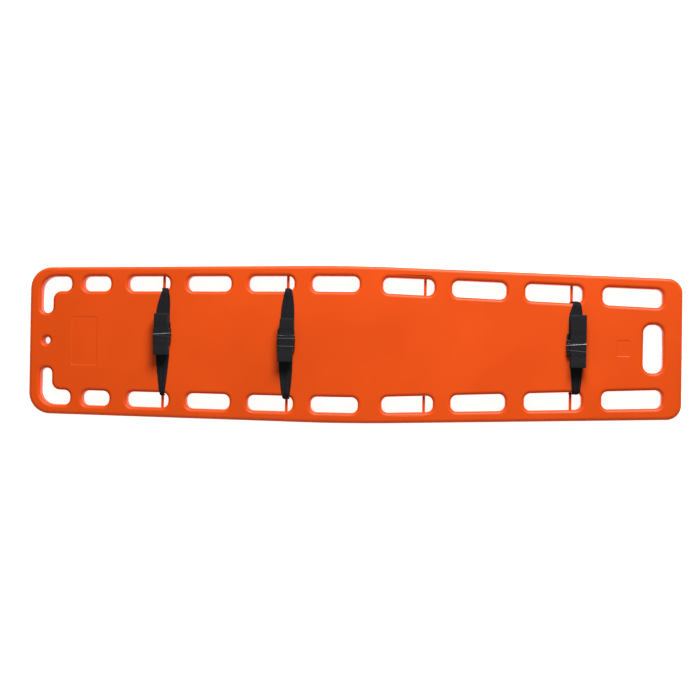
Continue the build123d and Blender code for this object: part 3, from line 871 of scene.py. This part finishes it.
class SPINEBOARD_OT_film(bpy.types.Operator):
    """Model the clear film that holds each folded tail on its buckle"""

    bl_idname = "spine_board.film"
    bl_label = "Film bands"

    def execute(self, context):
        finish = clear_film(context.scene.finish_colours.film)
        for tail in folded_tails():
            bm = bmesh.new()
            self.wrap(bm, tail)
            piece = finished_piece(f"film_{tail.name}", bm, finish, f"{tail.name}_strap_upper", "film",
                                   f"film_band_{tail.name}")
            wall = piece.modifiers.new("thickness", "SOLIDIFY")
            wall.thickness = film_thickness
        return {"FINISHED"}

    def wrap(self, bm, tail):
        """A band round buckle and tail, creased where it is stretched."""
        low, high = tail.film_low, tail.film_high
        buckle_low, buckle_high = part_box(f"buckle_receiver_{tail.name}")
        middle = (low.y + high.y) / 2
        x, half = tail.middle(middle), tail.width(middle) / 2 + 0.0005
        top = tail.low.z + (tail.high.z - tail.low.z) * tail.squeeze(middle) + film_clearance
        corners = [(low.x, low.z), (high.x, low.z), (high.x, buckle_high.z), (x + half, top)]
        corners += [(x - half, top), (low.x, buckle_high.z)]
        radii = [film_foot, film_foot, film_shoulder, film_top, film_top, film_shoulder]
        rounded_outline(bm, corners, radii, 0.0, 4)
        long_edges = [edge for edge in bm.edges if edge.calc_length() > 0.004]
        bmesh.ops.subdivide_edges(bm, edges=long_edges, cuts=9)
        bmesh.ops.rotate(bm, verts=bm.verts[:], matrix=Matrix.Rotation(math.radians(90), 3, "X"))
        bmesh.ops.translate(bm, verts=bm.verts[:], vec=(0, high.y, 0))
        section = bm.edges[:]
        bmesh.ops.delete(bm, geom=bm.faces[:], context="FACES_ONLY")
        for _ in range(film_rows):
            made = bmesh.ops.extrude_edge_only(bm, edges=section)["geom"]
            section = [item for item in made if isinstance(item, bmesh.types.BMEdge)]
            verts = [item for item in made if isinstance(item, bmesh.types.BMVert)]
            bmesh.ops.translate(bm, verts=verts, vec=(0, (low.y - high.y) / film_rows, 0))
        bmesh.ops.recalc_face_normals(bm, faces=bm.faces[:])
        bm.normal_update()
        wander = random.Random(tail.name + "film")
        creases = [(wander.uniform(0.1, 0.9), wander.uniform(-0.12, 0.12), wander.uniform(0.3, 1.0))
                   for _ in range(crease_count)]
        moves = []
        crease = bm.verts.layers.float.new("crease")
        for vert in bm.verts:
            share = (vert.co.y - low.y) / (high.y - low.y)
            lift = 0.0
            for start, slope, height in creases:
                distance = (share - start) * (high.y - low.y) - slope * (vert.co.x - x)
                lift += height * crease_height * math.exp(-(distance / crease_width) ** 2)
            # How strongly the film is painted pale at this point: the painted glint along each crease.
            vert[crease] = min(lift / crease_height, 1.0) ** 2
            # The two borders wander a little where the film was torn off
            border = math.sin(vert.co.x * 240) * 0.0007 * abs(2 * share - 1) ** 4
            moves.append((vert, vert.normal * lift + Vector((0, border, 0))))
        for vert, move in moves:
            vert.co += move


class SPINEBOARD_OT_buckles(bpy.types.Operator):
    """Soften the moulded edges of the buckles and finish them"""

    bl_idname = "spine_board.buckles"
    bl_label = "Buckles"

    def execute(self, context):
        finish = moulded_acetal("moulded_acetal", context.scene.finish_colours.buckle, 0.38)
        edge = context.scene.strap_sizes.moulded_edge
        for name in strap_names:
            for part, side in (("receiver", "lower"), ("latch", "upper"), ("prongs", "upper")):
                node = f"buckle_{part}_{name}"
                bm = softened_copy(node, edge)
                piece = finished_piece(f"{part}_{name}", bm, finish, f"{name}_strap_{side}", "buckle", node)
                piece.data.set_sharp_from_angle(angle=math.radians(40))
        return {"FINISHED"}


def softened_copy(node, edge):
    """A copy of a node with its flat faces whole and its sharp edges rounded."""
    bm = bmesh.new()
    bm.from_mesh(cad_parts[node].data)
    bmesh.ops.remove_doubles(bm, verts=bm.verts[:], dist=1e-6)
    bmesh.ops.dissolve_limit(bm, angle_limit=math.radians(1), verts=bm.verts[:], edges=bm.edges[:])
    sharp = [item for item in bm.edges if item.is_manifold and item.calc_face_angle() > math.radians(30)]
    bmesh.ops.bevel(bm, geom=sharp, offset=edge, segments=2, profile=0.5, affect="EDGES",
                    clamp_overlap=True, material=-1)
    return bm


class SPINEBOARD_OT_inside(bpy.types.Operator):
    """Finish the foam core and the plug of the filling hole"""

    bl_idname = "spine_board.inside"
    bl_label = "Foam and plug"

    def execute(self, context):
        colours = context.scene.finish_colours
        dress_node("foam_core", rigid_foam(colours.foam))
        dress_node("filling_plug", moulded_acetal("moulded_plug", colours.buckle, 0.6))
        return {"FINISHED"}


# Each softbox: its place, the length of its side and its power
softboxes = {
    "key_softbox": ((0.7, 3.0, 2.3), 1.8, 235.0),
    "fill_softbox": ((-0.6, -3.0, 2.6), 2.4, 20.0),
}

# The air gives little light, and is seen brighter than that, so that the horizon is pale
air_light, air_seen = 0.2, 0.9

# The camera, as fitted to the outline of the board
camera_place, camera_lens = (0.2565, -0.0719, 4.9991), 90.6
camera_turns = (("Z", 0.883), ("Y", 3.042), ("X", 0.701))


class SPINEBOARD_OT_stage(bpy.types.Operator):
    """Set the pale floor, the soft lights and the camera"""

    bl_idname = "spine_board.stage"
    bl_label = "Stage"

    def execute(self, context):
        scene = context.scene
        bm = bmesh.new()
        just_below = Matrix.Translation((0.0, 0.0, -floor_drop))
        bmesh.ops.create_grid(bm, x_segments=1, y_segments=1, size=floor_half_side, matrix=just_below)
        mesh = bpy.data.meshes.new("floor")
        bm.to_mesh(mesh)
        bm.free()
        mesh.materials.append(seamless_floor(scene.finish_colours.floor))
        floor = bpy.data.objects.new("floor", mesh)
        scene.collection.objects.link(floor)
        for name, (place, size, power) in softboxes.items():
            self.light(name, place, size, power)
        world = bpy.data.worlds.new("studio_air")
        world.use_nodes = True
        sky = world.node_tree.nodes["Background"]
        sky.inputs["Color"].default_value = (1.0, 1.0, 1.0, 1.0)
        ray = add_node(world.node_tree, "ShaderNodeLightPath")
        air = add_node(world.node_tree, "ShaderNodeMapRange", {}, {
            "Value": ray.outputs["Is Camera Ray"], "To Min": air_light, "To Max": air_seen})
        world.node_tree.links.new(air.outputs["Result"], sky.inputs["Strength"])
        scene.world = world
        scene.view_settings.view_transform = "Standard"
        lens = bpy.data.cameras.new("camera")
        lens.lens = camera_lens
        lens.clip_end = 50.0
        camera = bpy.data.objects.new("camera", lens)
        scene.collection.objects.link(camera)
        turn = Matrix.Identity(4)
        for axis, degrees in camera_turns:
            turn = turn @ Matrix.Rotation(math.radians(degrees), 4, axis)
        camera.matrix_world = Matrix.Translation(camera_place) @ turn
        scene.camera = camera
        return {"FINISHED"}

    def light(self, name, place, size, power):
        """A square softbox that faces the middle of the board."""
        data = bpy.data.lights.new(name, "AREA")
        data.size = size
        data.energy = power
        lamp = bpy.data.objects.new(name, data)
        lamp.location = place
        lamp.rotation_euler = (-Vector(place)).to_track_quat("-Z", "Y").to_euler()
        bpy.context.scene.collection.objects.link(lamp)


class SPINEBOARD_PT_panel(bpy.types.Panel):
    """Lists the pieces of the spine board"""

    bl_idname = "SPINEBOARD_PT_panel"
    bl_label = "Spine board"
    bl_space_type = "VIEW_3D"
    bl_region_type = "UI"
    bl_category = "Spine board"

    def draw(self, context):
        for operator in operators:
            self.layout.operator(operator.bl_idname)


operators = (
    SPINEBOARD_OT_stage, SPINEBOARD_OT_moulding, SPINEBOARD_OT_inside, SPINEBOARD_OT_webbing,
    SPINEBOARD_OT_tails, SPINEBOARD_OT_buckles, SPINEBOARD_OT_film,
)
groups = {"moulding_sizes": MouldingSizes, "strap_sizes": StrapSizes, "finish_colours": FinishColours}


def register():
    """Registers the groups of sizes and colours, the operators and the panel."""
    for name, group in groups.items():
        bpy.utils.register_class(group)
        setattr(bpy.types.Scene, name, PointerProperty(type=group))
    for operator in operators:
        bpy.utils.register_class(operator)
    bpy.utils.register_class(SPINEBOARD_PT_panel)


def unregister():
    """Takes away what register adds, in the other order."""
    bpy.utils.unregister_class(SPINEBOARD_PT_panel)
    for operator in reversed(operators):
        bpy.utils.unregister_class(operator)
    for name, group in groups.items():
        delattr(bpy.types.Scene, name)
        bpy.utils.unregister_class(group)


def main():
    """Registers the add-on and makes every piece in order."""
    register()
    bpy.ops.spine_board.stage()
    bpy.ops.spine_board.moulding()
    bpy.ops.spine_board.inside()
    bpy.ops.spine_board.webbing()
    bpy.ops.spine_board.tails()
    bpy.ops.spine_board.buckles()
    bpy.ops.spine_board.film()


if __name__ == "__main__":
    main()
